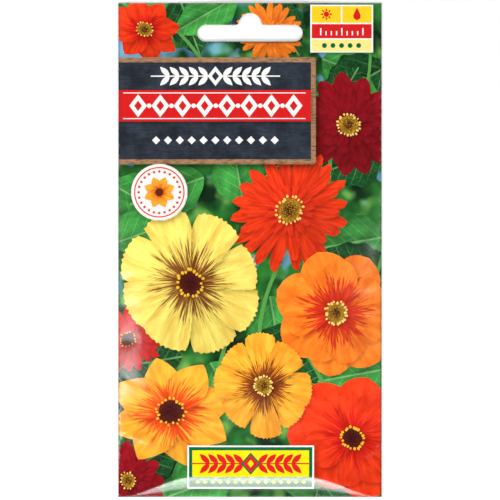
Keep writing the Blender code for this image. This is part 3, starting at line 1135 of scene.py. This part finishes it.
def film_pouch():
    """The whole web as one closed thin sheet, printed outside and plain inside."""
    front = front_print()
    shapes = front + back_print()
    outer, outer_faces, inner, inner_faces, walls = film_skins(shapes)
    faces = np.r_[outer_faces, inner_faces[:, ::-1] + len(outer), walls]
    points = np.r_[skin_points(outer, 1), skin_points(inner, -1)]
    mesh = bpy.data.meshes.new("film_pouch")
    mesh.from_pydata((points * MM).tolist(), [], faces.tolist())
    if mesh.validate():
        raise ValueError("the film's mesh has bad faces")

    middle = outer[outer_faces].mean(axis=1)
    picked = np.full(len(faces), -1)
    for number, shape in enumerate(shapes):
        picked[:len(middle)][shape.holds(middle)] = number
    shapes.append(Shape(box(0, 0, 1, 1), WHITE, "inside"))
    for make in INKS.values():
        mesh.materials.append(make())
    slots = np.array([list(INKS).index(shape.ink) for shape in shapes], np.int32)
    mesh.polygons.foreach_set("material_index", slots[picked])
    mesh.polygons.foreach_set("use_smooth", np.arange(len(faces)) < len(faces) - len(walls))
    set_print(mesh, np.r_[outer, inner][faces], shapes, picked, shadow_map(front))
    mesh.update()
    pouch = linked("film_pouch", mesh)
    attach(pouch, "root")
    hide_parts("film_web")


def wrinkled(place, phase):
    """What a point of a seed's ball is multiplied by, and how deep in a furrow it lies."""
    along = place.x * 2
    around = math.atan2(place.z, place.y)
    belt = 1 - along * along
    twist = around + 0.5 * math.sin(2.2 * along + phase)
    ridge = abs(math.sin(5.5 * twist + 0.6 * math.sin(6 * along + phase)))
    cross = abs(math.sin(9 * along + 1.6 * math.sin(3 * around + phase)))
    depth = 0.085 * (1 - ridge) ** 1.5 * belt + 0.045 * (1 - cross) ** 2 * belt
    lobe = 0.035 * (1 + math.sin(2 * around + phase)) * belt
    dent = 0.08 * math.exp(-((along - 0.86) ** 2 + (around / 3) ** 2) * 9)
    return 0.985 - depth - lobe - dent, min(1.0, (depth + dent) / 0.09)


def seed_piece(number, husk):
    """One seed in the place of its CAD node: a lobed corky body with deep wrinkles."""
    node = f"seed_{number}"
    low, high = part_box(node)
    mesh = bpy.data.meshes.new(f"seed_body_{number}")
    shape = bmesh.new()
    bmesh.ops.create_icosphere(shape, subdivisions=5, radius=0.5)
    furrows = []
    for vert in shape.verts:
        share, furrow = wrinkled(vert.co, number * 1.7)
        vert.co *= share
        vert.co = vert.co * (high - low) + (low + high) / 2
        furrows.append(furrow)
    shape.to_mesh(mesh)
    shape.free()
    mesh.shade_smooth()
    layer = mesh.attributes.new("furrow", "FLOAT", "POINT")
    layer.data.foreach_set("value", furrows)
    mesh.materials.append(husk)
    seed = linked(f"seed_body_{number}", mesh)
    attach(seed, "root")
    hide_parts(node)


# The stage


def pale_floor():
    mesh = bpy.data.meshes.new("floor")
    side, gap = 1.6, 0.0001
    mesh.from_pydata([(x, y, -gap) for x, y in box(-side, -side, side, side)], [], [(0, 1, 2, 3)])
    floor = linked("floor", mesh)
    nodes = Nodes(bpy.data.materials.new("pale_floor"))
    speck = nodes.mix(nodes.noise(nodes.coords(), 40.0, 3.0), (0.93, 0.93, 0.93, 1), (0.95, 0.95, 0.95, 1))
    mesh.materials.append(nodes.finish({"Base Color": speck, "Roughness": 0.9, "Specular IOR Level": 0.1}))


def softbox(name, place, sides, power):
    light = bpy.data.lights.new(name, "AREA")
    light.shape = "RECTANGLE"
    light.size, light.size_y = sides
    light.energy = power
    lamp = linked(name, light)
    lamp.location = place
    lamp.rotation_euler = (Vector((0.0, 0.0, 0.0)) - lamp.location).to_track_quat("-Z", "Y").to_euler()


def dim_room():
    """A room that is bright low down and dim overhead, so that flat film doesn't look milky."""
    room = Nodes(bpy.data.worlds.new("studio"), "Background")
    height = room.parts(room.coords("Generated"))[2]
    light = room.step(height, 0.15, 0.95, 0.50, 0.08, "LINEAR")
    return room.finish({"Color": (1, 1, 1, 1), "Strength": light})


def overhead_camera():
    """A long lens straight above the packet, which takes in this width of the floor."""
    view_across = 0.1519
    camera = bpy.data.cameras.new("camera")
    camera.lens = 250.0
    camera.sensor_width = 36.0
    camera.clip_start = 0.05
    camera.clip_end = 10.0
    eye = linked("camera", camera)
    eye.location = (0.0, 0.0, view_across * camera.lens / camera.sensor_width)
    bpy.context.scene.camera = eye


def stage():
    pale_floor()
    softbox("left softbox", (-0.68, -0.20, 0.57), (0.28, 0.44), 3.0)
    softbox("right softbox", (0.65, 0.22, 0.58), (0.30, 0.44), 1.6)
    softbox("far softbox", (0.0, 0.68, 0.60), (0.6, 0.22), 1.8)
    softbox("near strip", (0.0, -0.56, 0.57), (0.62, 0.17), 2.9)
    softbox("crease strip", (0.0, -0.610, 0.522), (0.62, 0.03), 1.5)
    bpy.context.scene.world = dim_room()
    bpy.context.scene.view_settings.view_transform = "Standard"
    overhead_camera()


film_pouch()
husk = husk_material()
for number in range(1, SEEDS + 1):
    seed_piece(number, husk)
stage()
